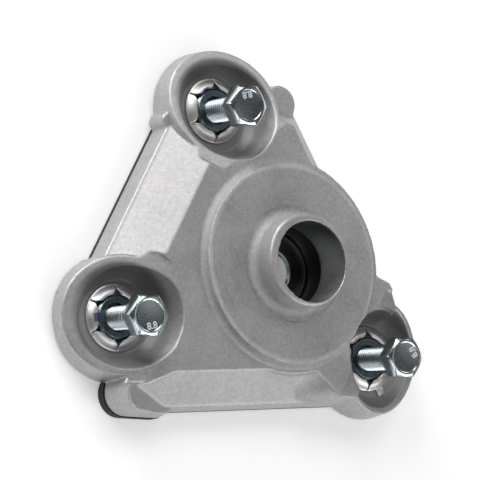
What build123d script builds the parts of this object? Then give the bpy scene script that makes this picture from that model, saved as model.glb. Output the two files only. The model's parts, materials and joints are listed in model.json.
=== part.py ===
from build123d import *
import os
from math import asin, atan2, cos, pi, radians, sin, tan

# Strut mount: a die-cast housing with three bolt cups, a rubber bush for the
# strut rod, and three captive bolts, each held by a collar and a star clip.
#
# Frame: millimetres, +Z up. The origin is where the rod axis meets the back
# of the mounting gasket, so the mount lies on its gasket with the tube up.
# +X points to the single bolt, and the other two stand left of the rod axis.

# Driving dimensions

# Bolt triangle, which is isosceles and set off from the rod axis
left_bolt_x = -44.85
right_bolt_x = 47.76
bolt_half_spacing = 41.57
triangle_mid_y = -5.36
lobe_radius = 21.0
right_lobe_radius = 20.5

# Heights above the back of the gasket
gasket_thickness = 1.5
cup_floor_height = 6.3
collar_face_height = 8.5
flange_edge_height = 9.5
plateau_height = 19.2
boss_step = 3.0
tube_rise = 9.4

# Flange outline: distances from the middle point (0, triangle_mid_y). The upper
# side runs a little closer in beside the round ear, where it starts.
flange_left_distance = 59.7
flange_side_distance = 41.6
upper_nose_distance = 41.6
upper_ear_distance = 39.2
flange_side_angle = 33.0
lower_corner_x = -26.85
upper_corner_x = -19.0
flange_draft = 5.5

# Raised body: its top edges, measured like the flange sides
plateau_left_distance = 43.8
plateau_side_distance = 29.6
foot_setback = 1.4
ear_relief_point = (-22.0, 50.2)
ear_relief_yaw = 12.0
ear_relief_slope = 34.0

# Round skirt that carries the boss, with the boss and the tube on it
boss_center_x = -1.3
skirt_radius = 38.6
boss_radius = 33.8
boss_edge_radius = 0.6
boss_root_radius = 2.2
tube_radius = 15.7
tube_edge_radius = 0.9
tube_root_radius = 2.4
seat_ring_radius = 19.6
seat_ring_depth = 0.15
tube_bore_radius = 13.7

# Bolt cups
cup_floor_radius = 12.3
cup_knee_height = 9.5
cup_knee_radius = 15.0
cup_mouth_radius = 18.3
upper_cup_shift = (-0.6, -0.4)
lower_cup_shift = (-0.8, -1.5)
inner_wall_shift = 2.2
inner_wall_knee_radius = 14.4
inner_wall_mouth_radius = 16.6
right_cup_knee_radius = 14.0
right_cup_mouth_radius = 15.8
right_outer_start = -2.5
right_outer_shift = 2.0
right_outer_knee_radius = 15.6
right_outer_mouth_radius = 19.2

# Rim of each lobe: it falls outward in this direction, from a crease in the plateau
rim_directions = [153.8, 206.2, 0.0]
rim_crease_distances = [15.9, 15.9, 10.5]
rim_slopes = [16.4, 18.4, 20.5]
rim_cut_spread = 2.0

# Ears beside the left lobes: a low round one above and a long sloping one below
upper_ear_radius = 7.0
upper_ear_center = (-24.6, 52.9)
lower_ear_radius = 7.6
lower_ear_center = (-28.9, -66.0)
lower_ear_tip_radius = 4.0
lower_ear_tip_center = (-16.9, -63.6)
lower_ear_low_x = -16.4
lower_ear_slope = 22.0
upper_nub_radius = 3.2
upper_nub_center = (-59.45, 22.2)
lower_nub_radius = 2.6
lower_nub_center = (-60.2, -36.2)

# Shoulder beside the right lobe: along the side, and in from its edge
shoulder_foot_start = (19.5, 2.6)
shoulder_foot_bend = (38.5, 0.6)
shoulder_foot_end = 1.5
shoulder_top_start = 24.0
shoulder_top_bend = (9.3, 2.6)
shoulder_top_end = (1.0, 0.3)

# Gasket: it stays back under the lobes and is thick under the long ear
gasket_setback = 1.2
gasket_plate_gap = 1.0
gasket_collar_gap = 0.8
ear_pad_height = 3.3

# Rod bush
bush_radius = 24.0
bush_top_height = 16.6
bush_shell_wall = 1.6
plate_thickness = 2.0
plate_radius = 31.0
plate_hole_radius = 13.0
sleeve_radius = 7.6
sleeve_top_height = 8.6
sleeve_length = 5.6
rod_radius = 6.0
rod_clearance = 0.05
rubber_clearance = 0.3
ridge_radius = 12.8
ridge_height = 9.4
ridge_round = (0.8, 0.7)
waist_drop = 1.4
waist_shoulder = (1.6, 1.5)
valley_offset = (0.9, 1.2)
flank_offset = (4.2, 1.6)
rubber_top_drop = 1.0
rubber_plate_gap = 0.3
rubber_inner_gap = 0.6
rubber_foot_width = 4.0
pocket_depth = 3.0
pocket_outer_width = 6.5
pocket_inner_width = 2.5
shell_chamfer = 0.8
plate_chamfer = 0.5
sleeve_chamfer = 0.4
sleeve_edge = 0.3
sleeve_lead_in = 0.8
press_clearance = 0.05

# Captive bolts, M8 with a hexagon head
thread_size = 8.0
bolt_length = 20.0
bolt_end_chamfer = 1.0
head_height = 5.3
head_across_flats = 13.0
head_chamfer = 0.75
head_chamfer_angle = 35.0
head_lift = [14.3, 14.3, 16.0]
thread_clearance = 0.5
bolt_lean = 4.5
bolt_lean_direction = -56.8

# Collars with a nylon grip ring inside
collar_radius = 7.5
collar_chamfer = 0.7
collar_lead_in = 0.4
keeper_radius = 5.6
keeper_height = 3.4
keeper_seat_height = 2.9
keeper_ring_radius = 5.42
keeper_ring_height = 2.4
keeper_grip_gap = 0.06

# Star clips
clip_radius = 11.2
clip_rim_width = 0.6
clip_thickness = 0.7
clip_crown_rise = 1.8
clip_foot_width = 0.5
clip_foot_setback = 0.4
clip_seat_gap = 0.05
clip_crown_round = 0.2
petal_count = 6
petal_gap = 0.7
notch_width = 3.8
notch_radius = 9.7
locating_tab_width = 3.0
locating_tab_reach = 13.7
locating_tab_angle = -33.0

# Sizes that follow from the ones above

left_x = left_bolt_x
bolt_points = [
    (left_x, triangle_mid_y + bolt_half_spacing),
    (left_x, triangle_mid_y - bolt_half_spacing),
    (right_bolt_x, triangle_mid_y),
]
lobe_radii = [lobe_radius, lobe_radius, right_lobe_radius]
keeper_middle_height = keeper_seat_height + keeper_height / 2
boss_face_height = plateau_height + boss_step
tube_top_height = boss_face_height + tube_rise
collar_bore_radius = thread_size / 2 + thread_clearance
clip_seat_height = cup_floor_height
far = 200.0


def disc(point, radius, low, high):
    """Upright cylinder at a plan point."""
    body = Cylinder(radius, high - low, align=(Align.CENTER, Align.CENTER, Align.MIN))
    return Pos(point[0], point[1], low) * body


def turned(*profile):
    """Solid of revolution about +Z from (radius, height) corners."""
    return revolve(Plane.XZ * make_face(Polyline(*profile, close=True)), Axis.Z)


def side_point(x, distance, sign):
    """Plan point at x on a slanting side at this distance, on the upper or the lower side."""
    lean = radians(flange_side_angle)
    return (x, triangle_mid_y + sign * (distance - x * sin(lean)) / cos(lean))


def side_polygon(left_distance, side_distances, corners_x):
    """Plan with an upright left side, two slanting sides and a blunt nose. The distances
    are those of the lower side, of the upper side at the nose, and of it at its left end."""
    corners = [
        (-left_distance, triangle_mid_y - bolt_half_spacing),
        side_point(corners_x[0], side_distances[0], -1),
        side_point(right_bolt_x, side_distances[0], -1),
        side_point(right_bolt_x, side_distances[1], 1),
        side_point(corners_x[1], side_distances[2], 1),
        (-left_distance, triangle_mid_y + bolt_half_spacing),
    ]
    return Polygon(*corners, align=None)


def lower_ear_plans():
    """Plans of the long ear: a large disc, a small disc, and the web between their tangents."""
    start = Vector(*lower_ear_center)
    run = Vector(*lower_ear_tip_center) - start
    along = run.normalized()
    across = Vector(-along.Y, along.X)
    lean = asin((lower_ear_radius - lower_ear_tip_radius) / run.length)
    corners = []
    for side in (-1, 1):
        toward = along * sin(lean) + across * (side * cos(lean))
        pair = [start + toward * lower_ear_radius, start + run + toward * lower_ear_tip_radius]
        corners += pair if side == -1 else pair[::-1]
    web = Polygon(*[(corner.X, corner.Y) for corner in corners], align=None)
    large = Pos(*lower_ear_center) * Circle(lower_ear_radius)
    small = Pos(*lower_ear_tip_center) * Circle(lower_ear_tip_radius)
    return [large, small, web]


def tall_plans():
    """Plans that reach up to the plateau: trunk, lobes, skirt and the long ear."""
    distances = (flange_side_distance, upper_nose_distance, upper_ear_distance)
    plans = [side_polygon(flange_left_distance, distances, (lower_corner_x, upper_corner_x))]
    plans += [Pos(*point) * Circle(radius) for point, radius in zip(bolt_points, lobe_radii)]
    plans.append(Pos(boss_center_x, 0) * Circle(skirt_radius))
    return plans + lower_ear_plans()


def flange_plans():
    """All the plans of the flange: the tall ones, the round ear and the nubs."""
    plans = tall_plans()
    plans.append(Pos(*upper_ear_center) * Circle(upper_ear_radius))
    plans.append(Pos(*upper_nub_center) * Circle(upper_nub_radius))
    plans.append(Pos(*lower_nub_center) * Circle(lower_nub_radius))
    return plans


def trunk_plans(setback):
    """Trunk, skirt, round ear and lobes, with the lobes set back."""
    plans = [tall_plans()[0], Pos(boss_center_x, 0) * Circle(skirt_radius)]
    plans.append(Pos(*upper_ear_center) * Circle(upper_ear_radius - setback))
    plans += [Pos(*point) * Circle(radius - setback) for point, radius in zip(bolt_points, lobe_radii)]
    return plans


def drafted(plan, low, high):
    """Wall on a plan, leaning in by the draft angle."""
    return Pos(0, 0, low) * extrude(plan, high - low, taper=flange_draft)


def drafted_walls(plans, high):
    """Drafted walls on several plans, from the gasket up to a height, as one solid."""
    return Part() + [drafted(plan, gasket_thickness, high) for plan in plans]


def raised_body():
    """Sloping sides from the flange edge up to the plateau, cut back over the round ear."""
    corners_x = (left_x + lobe_radius / 2, left_x + lobe_radius / 2)
    sides = (flange_side_distance, upper_nose_distance, upper_ear_distance)
    foot_sides = [side - foot_setback for side in sides]
    foot = side_polygon(flange_left_distance - foot_setback, foot_sides, corners_x)
    top = side_polygon(plateau_left_distance, [plateau_side_distance] * 3, corners_x)
    body = loft([Pos(0, 0, flange_edge_height) * foot, Pos(0, 0, plateau_height) * top], ruled=True)
    yaw = radians(90 + ear_relief_yaw)
    lean = radians(90 - ear_relief_slope)
    outward = (sin(lean) * cos(yaw), sin(lean) * sin(yaw), cos(lean))
    origin = (ear_relief_point[0], ear_relief_point[1], flange_edge_height)
    relief = Plane(origin=origin, x_dir=(-sin(yaw), cos(yaw), 0), z_dir=outward)
    return body - relief * Box(far, far, far, align=(Align.CENTER, Align.CENTER, Align.MIN))


def nose_shoulder():
    """Blend of the raised body into the right lobe, with a crease at each side."""
    lobe_side_y = triangle_mid_y - right_lobe_radius
    low = [
        side_point(shoulder_foot_start[0], flange_side_distance - shoulder_foot_start[1], -1),
        side_point(shoulder_foot_bend[0], flange_side_distance - shoulder_foot_bend[1], -1),
        (right_bolt_x + shoulder_foot_end, lobe_side_y),
    ]
    high = [
        side_point(shoulder_top_start, plateau_side_distance, -1),
        (right_bolt_x - shoulder_top_bend[0], lobe_side_y - shoulder_top_bend[1]),
        (right_bolt_x - shoulder_top_end[0], lobe_side_y + shoulder_top_end[1]),
    ]

    def mirrored(corners):
        other = [(x, 2 * triangle_mid_y - y) for x, y in reversed(corners)]
        return Polygon(*corners, *other, align=None)

    return loft([Pos(0, 0, flange_edge_height) * mirrored(low), Pos(0, 0, plateau_height) * mirrored(high)], ruled=True)


def lower_ear():
    """Upright walls of the long ear, under a top that falls toward its tip."""
    walls = drafted_walls(lower_ear_plans(), plateau_height)
    lean = radians(lower_ear_slope)
    origin = (lower_ear_low_x, 0, flange_edge_height)
    top = Plane(origin=origin, x_dir=(0, 1, 0), z_dir=(sin(lean), 0, cos(lean)))
    return walls - top * Box(far, far, far, align=(Align.CENTER, Align.CENTER, Align.MIN))


def ear_pad():
    """Thick part of the gasket under the long ear, outside the trunk and the lobes."""
    plan = Sketch() + lower_ear_plans()
    plan -= Sketch() + trunk_plans(0)
    return extrude(plan, ear_pad_height)


def above_rim(index):
    """Space over a lobe's rim, which falls outward from a crease in the plateau."""
    point = bolt_points[index]
    angle = radians(rim_directions[index])
    along = (cos(angle), sin(angle))
    start = (
        point[0] - rim_crease_distances[index] * along[0],
        point[1] - rim_crease_distances[index] * along[1],
        plateau_height,
    )
    lean = radians(rim_slopes[index])
    normal = (sin(lean) * along[0], sin(lean) * along[1], cos(lean))
    plane = Plane(origin=start, x_dir=(-along[1], along[0], 0), z_dir=normal)
    half_space = plane * Box(far, far, far, align=(Align.CENTER, Align.CENTER, Align.MIN))
    radius = lobe_radii[index]
    height = plateau_height - cup_floor_height
    reach = Cone(radius, radius + rim_cut_spread, height, align=(Align.CENTER, Align.CENTER, Align.MIN))
    return half_space & (Pos(point[0], point[1], cup_floor_height) * reach)


def boss_and_tube():
    """Boss disc and tube in one turned shape, with round roots and edges."""
    root = boss_radius + boss_root_radius
    tube_root = tube_radius + tube_root_radius
    step_low = boss_face_height - seat_ring_depth
    lines = Line((0, flange_edge_height), (root, flange_edge_height))
    lines += Line((root, flange_edge_height), (root, plateau_height))
    lines += RadiusArc((root, plateau_height), (boss_radius, plateau_height + boss_root_radius), boss_root_radius)
    lines += Line(
        (boss_radius, plateau_height + boss_root_radius),
        (boss_radius, boss_face_height - boss_edge_radius),
    )
    lines += RadiusArc(
        (boss_radius, boss_face_height - boss_edge_radius),
        (boss_radius - boss_edge_radius, boss_face_height),
        -boss_edge_radius,
    )
    lines += Line((boss_radius - boss_edge_radius, boss_face_height), (seat_ring_radius, boss_face_height))
    lines += Line((seat_ring_radius, boss_face_height), (seat_ring_radius, step_low))
    lines += Line((seat_ring_radius, step_low), (tube_root, step_low))
    lines += RadiusArc((tube_root, step_low), (tube_radius, step_low + tube_root_radius), tube_root_radius)
    lines += Line((tube_radius, step_low + tube_root_radius), (tube_radius, tube_top_height - tube_edge_radius))
    lines += RadiusArc(
        (tube_radius, tube_top_height - tube_edge_radius),
        (tube_radius - tube_edge_radius, tube_top_height),
        -tube_edge_radius,
    )
    lines += Line((tube_radius - tube_edge_radius, tube_top_height), (0, tube_top_height))
    lines += Line((0, tube_top_height), (0, flange_edge_height))
    profile = make_face(Plane.XZ * lines)
    return Pos(boss_center_x, 0, 0) * revolve(profile, Axis.Z)


def cup_profile(knee_radius, mouth_radius):
    """Turned space of a cup: a flat floor, a knee and a flared wall."""
    flare = (mouth_radius - knee_radius) / (plateau_height - cup_knee_height)
    top = boss_face_height + 1.0
    return turned(
        (0, cup_floor_height),
        (cup_floor_radius, cup_floor_height),
        (knee_radius, cup_knee_height),
        (knee_radius + flare * (top - cup_knee_height), top),
        (0, top),
    )


def left_cup(point, outer_shift):
    """Cup of a left bolt: the wall toward the boss is steeper and set further in."""
    inward = atan2(-point[1], -point[0])
    shift = (inner_wall_shift * cos(inward), inner_wall_shift * sin(inward))
    outer = cup_profile(cup_knee_radius, cup_mouth_radius)
    wider = Pos(outer_shift[0], outer_shift[1], 0) * outer
    inner = Pos(shift[0], shift[1], 0) * cup_profile(inner_wall_knee_radius, inner_wall_mouth_radius)
    return Pos(point[0], point[1], 0) * (outer + wider + inner)


def right_cup(point):
    """Cup of the right bolt: narrow beside the boss and wider on its outer half."""
    near = cup_profile(right_cup_knee_radius, right_cup_mouth_radius)
    outer = Pos(right_outer_shift, 0, 0) * cup_profile(right_outer_knee_radius, right_outer_mouth_radius)
    half = Pos(right_outer_start, 0, 0) * Box(far, far, far, align=(Align.MIN, Align.CENTER, Align.CENTER))
    return Pos(point[0], point[1], 0) * (near + (outer & half))


def housing():
    """Die-cast housing, one piece."""
    body = (raised_body() + nose_shoulder()) & drafted_walls(tall_plans(), plateau_height)
    body += drafted_walls(flange_plans(), flange_edge_height)
    body += lower_ear()
    for point, radius in zip(bolt_points, lobe_radii):
        body += drafted(Pos(*point) * Circle(radius), gasket_thickness, plateau_height)
    body += drafted(Pos(boss_center_x, 0) * Circle(skirt_radius), gasket_thickness, plateau_height)
    for index in range(len(bolt_points)):
        body -= above_rim(index)
    body += boss_and_tube()
    body -= left_cup(bolt_points[0], upper_cup_shift)
    body -= left_cup(bolt_points[1], lower_cup_shift)
    body -= right_cup(bolt_points[2])
    body -= ear_pad()
    for point in bolt_points:
        body -= disc(point, collar_radius + press_clearance, 0, cup_floor_height + 1)
    body -= disc((0, 0), tube_bore_radius, 0, tube_top_height + 1)
    body -= disc((0, 0), bush_radius + press_clearance, 0, bush_top_height)
    body -= disc((0, 0), plate_radius + press_clearance, 0, gasket_thickness + plate_thickness)
    return body


def mounting_gasket():
    """Flat gasket under the flange, with holes for the bush plate and the collars."""
    plan = Sketch() + (trunk_plans(gasket_setback) + lower_ear_plans())
    plan -= Circle(plate_radius + gasket_plate_gap)
    for point in bolt_points:
        plan -= Pos(*point) * Circle(collar_radius + gasket_collar_gap)
    return extrude(plan, gasket_thickness) + ear_pad()


def bush_shell():
    """Steel ring that is pressed into the housing round the rubber."""
    low = gasket_thickness + plate_thickness
    return turned(
        (bush_radius - bush_shell_wall, low),
        (bush_radius, low),
        (bush_radius, bush_top_height - shell_chamfer),
        (bush_radius - shell_chamfer, bush_top_height),
        (bush_radius - bush_shell_wall, bush_top_height),
    )


def bush_rubber():
    """Rubber ring bonded in the shell, with a raised ridge and a thin waist at the sleeve."""
    outer = bush_radius - bush_shell_wall
    inner = sleeve_radius + rubber_clearance
    low = gasket_thickness + plate_thickness
    lines = Polyline(
        (inner, low + rubber_inner_gap),
        (inner, sleeve_top_height - waist_drop),
    )
    lines += Spline(
        (inner, sleeve_top_height - waist_drop),
        (inner + waist_shoulder[0], ridge_height - waist_shoulder[1]),
        (ridge_radius - ridge_round[0], ridge_height - ridge_round[1]),
        (ridge_radius, ridge_height),
    )
    lines += Spline(
        (ridge_radius, ridge_height),
        (ridge_radius + valley_offset[0], ridge_height - valley_offset[1]),
        (ridge_radius + flank_offset[0], ridge_height + flank_offset[1]),
        (outer, bush_top_height - rubber_top_drop),
    )
    lines += Polyline(
        (outer, bush_top_height - rubber_top_drop),
        (outer, low + rubber_plate_gap),
        (outer - rubber_foot_width, low + rubber_plate_gap),
        (outer - pocket_outer_width, low + pocket_depth),
        (inner + pocket_inner_width, low + pocket_depth),
        (inner, low + rubber_inner_gap),
    )
    return revolve(Plane.XZ * make_face(lines), Axis.Z)


def bush_plate():
    """Steel plate pressed into the back of the housing, which holds the bush in."""
    low = gasket_thickness
    return turned(
        (plate_hole_radius, low),
        (plate_radius - plate_chamfer, low),
        (plate_radius, low + plate_chamfer),
        (plate_radius, low + plate_thickness),
        (plate_hole_radius, low + plate_thickness),
    )


def rod_sleeve():
    """Steel sleeve that takes the strut rod's end."""
    bore = rod_radius + rod_clearance
    low = sleeve_top_height - sleeve_length
    return turned(
        (bore, low + sleeve_chamfer),
        (bore + sleeve_chamfer, low),
        (sleeve_radius - sleeve_chamfer, low),
        (sleeve_radius, low + sleeve_chamfer),
        (sleeve_radius, sleeve_top_height - sleeve_edge),
        (sleeve_radius - sleeve_edge, sleeve_top_height),
        (bore + sleeve_lead_in, sleeve_top_height),
        (bore, sleeve_top_height - sleeve_lead_in),
    )


def bolt_collar(point):
    """Steel collar that takes the clamp load, with a groove for the grip ring."""
    shape = turned(
        (collar_bore_radius, gasket_thickness),
        (collar_radius, gasket_thickness),
        (collar_radius, collar_face_height - collar_chamfer),
        (collar_radius - collar_chamfer, collar_face_height),
        (collar_bore_radius + collar_lead_in, collar_face_height),
        (collar_bore_radius, collar_face_height - collar_lead_in),
    )
    groove = disc((0, 0), keeper_radius, keeper_seat_height, keeper_seat_height + keeper_height)
    return Pos(point[0], point[1], 0) * (shape - groove)


def leaning(point, solid):
    """Turns a piece over by the bolt's lean, about the middle of its grip ring."""
    tilt = Rot(0, 0, bolt_lean_direction) * Rot(0, bolt_lean, 0) * Rot(0, 0, -bolt_lean_direction)
    return Pos(point[0], point[1], keeper_middle_height) * tilt * Pos(0, 0, -keeper_middle_height) * solid


def grip_ring(point):
    """Nylon ring that grips the thread and keeps the bolt from dropping out."""
    low = keeper_middle_height - keeper_ring_height / 2
    high = keeper_middle_height + keeper_ring_height / 2
    ring = disc((0, 0), keeper_ring_radius, low, high)
    ring -= disc((0, 0), thread_size / 2 + keeper_grip_gap, low - 1, high + 1)
    return leaning(point, ring)


def captive_bolt(point, lift):
    """Hexagon bolt, lifted out of its collar as delivered and leaning in its clearance."""
    under_head = collar_face_height + lift
    head = extrude(RegularPolygon(head_across_flats / 2, 6, major_radius=False, rotation=30), head_height)
    across_corners = head_across_flats / cos(pi / 6)
    cone_radius = across_corners / 2 + 1.0
    cone_drop = (cone_radius - head_across_flats / 2 + head_chamfer) * tan(radians(head_chamfer_angle))
    cone = turned(
        (0, 0),
        (cone_radius, 0),
        (cone_radius, head_height - cone_drop),
        (head_across_flats / 2 - head_chamfer, head_height),
        (0, head_height),
    )
    head = head & cone
    radius = thread_size / 2
    shank = turned(
        (0, 0.0),
        (radius, 0.0),
        (radius, -bolt_length + bolt_end_chamfer),
        (radius - bolt_end_chamfer, -bolt_length),
        (0, -bolt_length),
    )
    return leaning(point, Pos(0, 0, under_head) * (head + shank))


def star_clip(point, with_tab):
    """Pressed spring clip: petals rise from an unbroken rim and close on the collar."""
    inner = collar_radius + press_clearance
    rim_foot = clip_radius - clip_foot_setback
    rim_low = clip_seat_height + clip_seat_gap
    middle = (inner + clip_radius) / 2
    crown = clip_seat_height + clip_crown_rise + clip_crown_round
    tip = collar_face_height - clip_thickness
    section = Polyline(
        (rim_foot - clip_foot_width, rim_low),
        (rim_foot, rim_low),
        (clip_radius, rim_low + clip_thickness),
    )
    section += Spline(
        (clip_radius, rim_low + clip_thickness),
        (middle, crown + clip_thickness),
        (inner, tip + clip_thickness),
    )
    section += Line((inner, tip + clip_thickness), (inner, tip))
    section += Spline((inner, tip), (middle, crown - clip_seat_gap), (rim_foot - clip_foot_width, rim_low))
    ring = revolve(Plane.XZ * make_face(section), Axis.Z)
    slot_end = clip_radius - clip_rim_width
    gap = Polygon(
        (inner - 0.5, -notch_width / 2),
        (notch_radius, -petal_gap / 2),
        (slot_end, -petal_gap / 2),
        (slot_end, petal_gap / 2),
        (notch_radius, petal_gap / 2),
        (inner - 0.5, notch_width / 2),
        align=None,
    )
    cutter = Pos(0, 0, clip_seat_height - 1) * extrude(gap, 8)
    for index in range(petal_count):
        ring -= Rot(0, 0, index * 360 / petal_count) * cutter
    if with_tab:
        start = clip_radius - 1.0
        reach = locating_tab_reach - start
        tab = Box(reach, locating_tab_width, clip_thickness, align=(Align.MIN, Align.CENTER, Align.MIN))
        ring += Rot(0, 0, locating_tab_angle) * Pos(start, 0, rim_low) * tab
    return Pos(point[0], point[1], 0) * ring


def export(name, solid):
    """Write one named piece."""
    solid.label = name
    export_step(solid, f"parts/{name}.step")


os.makedirs("parts", exist_ok=True)
export("housing", housing())
export("mounting_gasket", mounting_gasket())
export("bush_shell", bush_shell())
export("bush_rubber", bush_rubber())
export("bush_plate", bush_plate())
export("rod_sleeve", rod_sleeve())
for number, bolt_point in enumerate(bolt_points, start=1):
    export(f"bolt_collar_{number}", bolt_collar(bolt_point))
    export(f"grip_ring_{number}", grip_ring(bolt_point))
    export(f"star_clip_{number}", star_clip(bolt_point, number == 3))
    export(f"captive_bolt_{number}", captive_bolt(bolt_point, head_lift[number - 1]))
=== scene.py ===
"""Dresses the strut mount: cast body, rod bush, captive bolts, collars, clips and stage."""

import json
import math

import bmesh
import bpy
from bpy.props import FloatProperty, FloatVectorProperty, IntProperty, PointerProperty, StringProperty
from mathutils import Matrix, Vector


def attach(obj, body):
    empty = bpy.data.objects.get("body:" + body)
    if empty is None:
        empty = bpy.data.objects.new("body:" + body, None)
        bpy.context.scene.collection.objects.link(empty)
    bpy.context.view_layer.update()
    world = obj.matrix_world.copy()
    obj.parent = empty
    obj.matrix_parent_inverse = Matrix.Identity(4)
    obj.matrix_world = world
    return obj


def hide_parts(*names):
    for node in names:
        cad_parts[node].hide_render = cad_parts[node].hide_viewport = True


bl_info = {
    "name": "Strut mount",
    "version": (1, 0, 0),
    "blender": (4, 5, 0),
    "location": "3D View > Sidebar > Strut mount",
    "description": "Dresses a die-cast strut mount with its bush, captive bolts, clips and stage",
    "category": "Add Mesh",
}

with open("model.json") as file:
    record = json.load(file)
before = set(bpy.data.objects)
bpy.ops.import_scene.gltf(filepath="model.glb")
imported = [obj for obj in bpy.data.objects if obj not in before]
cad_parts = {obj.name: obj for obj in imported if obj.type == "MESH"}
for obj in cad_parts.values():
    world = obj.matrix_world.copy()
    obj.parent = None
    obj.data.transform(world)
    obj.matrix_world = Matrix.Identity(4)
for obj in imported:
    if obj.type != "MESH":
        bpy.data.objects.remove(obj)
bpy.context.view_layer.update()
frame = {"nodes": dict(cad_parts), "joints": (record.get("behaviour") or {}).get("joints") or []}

MM = 0.001
BOLTS = (1, 2, 3)

# Bands of painted reflection, the dark thread mirrored in the collars and clips: bolt, heading in degrees, then
# start, finish and half width in millimetres
THREAD_REFLECTIONS = (
    (1, 150.0, 5.0, 8.6, 1.5),
    (2, 212.5, 4.6, 9.4, 1.7),
)

# Direction of the side of each cup whose walls get painted shade, in degrees
SHADED_SIDES = {1: 123.0, 2: 108.0, 3: 82.0}

# Direction from the middle of each bolt head to its numerals, in degrees
MARKS = {1: 133.0, 2: -47.0, 3: 62.0}

# Soft edges of the casting's zones in millimetres: where a zone starts and where it is full
ZONES = {
    "cup": (18.6, 16.6),
    "side_shade": (1.0, 13.0),
    "spot face": (10.9, 10.4),
    "boss height": (21.6, 22.0),
    "bore": (14.9, 14.6),
    "bore height": (31.0, 30.6),
    "foot outside": (18.8, 17.2),
    "foot inside": (15.4, 15.9),
    "dull height": (18.5, 19.5),
    "seat side": (-6.0, 5.0),
}

# Soft edges of the boss's own rings in millimetres, counted from the boss's or the seat ring's radius
RINGS = {
    "boss": (0.3, -0.2),
    "brink inside": (-1.6, -0.7),
    "brink outside": (2.0, 1.2),
    "seat outside": (0.25, 0.0),
    "seat inside": (-0.3, 0.0),
}

WELD = 0.000001  # distance in metres within which corners are one

# In millimetres: the height of the middle of the cups' walls, the height above which and the radius
# within which the casting is turned, and the radius and height of the bend at the foot of those walls
CUP_MIDDLE = 11.0
TURNED = (19.6, 35.5)
KNEE = ((12.3, 16.4), (6.6, 12.5))

# Name, power in watts, and the angles round and up in degrees
LIGHTS = (
    ("low left light", 8.4, (150, 12)),
    ("left light", 4.0, (165, 35)),
    ("high left light", 3.4, (118, 50)),
    ("near light", 1.6, (-90, 50)),
    ("high right light", 1.1, (0, 55)),
    ("right light", 2.6, (-15, 22)),
    ("back light", 1.6, (60, 35)),
    ("lower right light", 3.0, (-38, 42)),
    ("low front light", 0.35, (-125, 18)),
)

# Camera: directions of its right, its up and its back, then its place in metres
CAMERA = (
    (0.73606265, 0.38175059, 0.55899756),
    (-0.54108354, 0.82802112, 0.14700213),
    (-0.40674364, -0.41066715, 0.81603438),
    (-0.41498, -0.40050, 0.80840),
)


# Sizes and colours that a user would change


def length(name, description, default):
    """Length property in metres, given in millimetres."""
    return FloatProperty(name=name, description=description, default=default * MM, unit="LENGTH", precision=5)


def degrees(name, description, default):
    """Angle property in radians, given in degrees."""
    return FloatProperty(name=name, description=description, default=math.radians(default), subtype="ANGLE")


def passes(name, description, default):
    """Whole number that may not be negative."""
    return IntProperty(name=name, description=description, default=default, min=0)


def amount(name, description, default, limit=1000.0):
    """Number from nothing to a limit."""
    return FloatProperty(name=name, description=description, default=default, min=0.0, max=limit)


def colour(name, description, default):
    """Colour property."""
    return FloatVectorProperty(
        name=name, description=description, default=default, subtype="COLOR", size=3, min=0.0, max=1.0,
    )


class CastBodySettings(bpy.types.PropertyGroup):
    """Skin of the die casting."""

    voxel: length("Skin cell", "Cell of the mesh that rounds the casting's edges", 0.4)
    rounding: passes("Rounding passes", "Smoothing passes that round the cast edges", 3)
    bowl_rounding: passes("Bowl passes", "Smoothing passes at the foot of the cups' walls", 16)
    machined_rounding: passes("Machined passes", "Smoothing passes on the turned boss and tube", 1)
    keep: amount("Faces kept", "Share of the skin's faces that is kept", 0.28, 1.0)
    grain: length("Grain", "Size of the blasted grain", 0.62)
    tint: colour("Aluminium", "Colour of the cast aluminium", (0.505, 0.500, 0.500))
    cup_floor: length("Cup floor", "Height of the cups' floors", 6.3)
    boss_middle: length("Boss middle", "X of the middle of the turned boss", -1.3)
    boss_reach: length("Boss reach", "Radius of the turned boss face", 33.5)
    seat_ring: length("Seat ring", "Radius of the ring turned round the tube", 19.6)


class BoltSettings(bpy.types.PropertyGroup):
    """Hexagon bolts with rolled thread."""

    pitch: length("Thread pitch", "Distance between two thread crests", 1.25)
    thread_radius: length("Thread radius", "Outer radius of the thread", 4.0)
    thread_depth: length("Thread depth", "Depth of the thread groove", 0.70)
    shank: length("Shank length", "Length under the head", 20.0)
    head_flats: length("Across flats", "Width of the hexagon head", 13.0)
    head_height: length("Head height", "Height of the hexagon head", 5.3)
    head_chamfer: length("Head chamfer", "Set-back of the turned chamfer at the flats", 0.55)
    dish_radius: length("Dish radius", "Radius of the shallow dish in the head", 5.3)
    dish_depth: length("Dish depth", "Depth of the shallow dish in the head", 0.16)
    lift_left: length("Lift at the left", "Height of the two left heads above the grip rings", 18.2)
    lift_right: length("Lift at the right", "Height of the right head above its grip ring", 19.9)
    lean_direction: degrees("Lean direction", "Direction in which the bolts lean", -56.8)
    lean: degrees("Lean", "How far the bolts lean", 4.5)
    mark: StringProperty(name="Strength mark", description="Plain strength numerals on the heads", default="8.8")
    mark_size: length("Mark size", "Height of the numerals", 3.2)
    zinc: colour("Zinc", "Colour of the bright zinc plating", (0.74, 0.77, 0.79))


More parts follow.
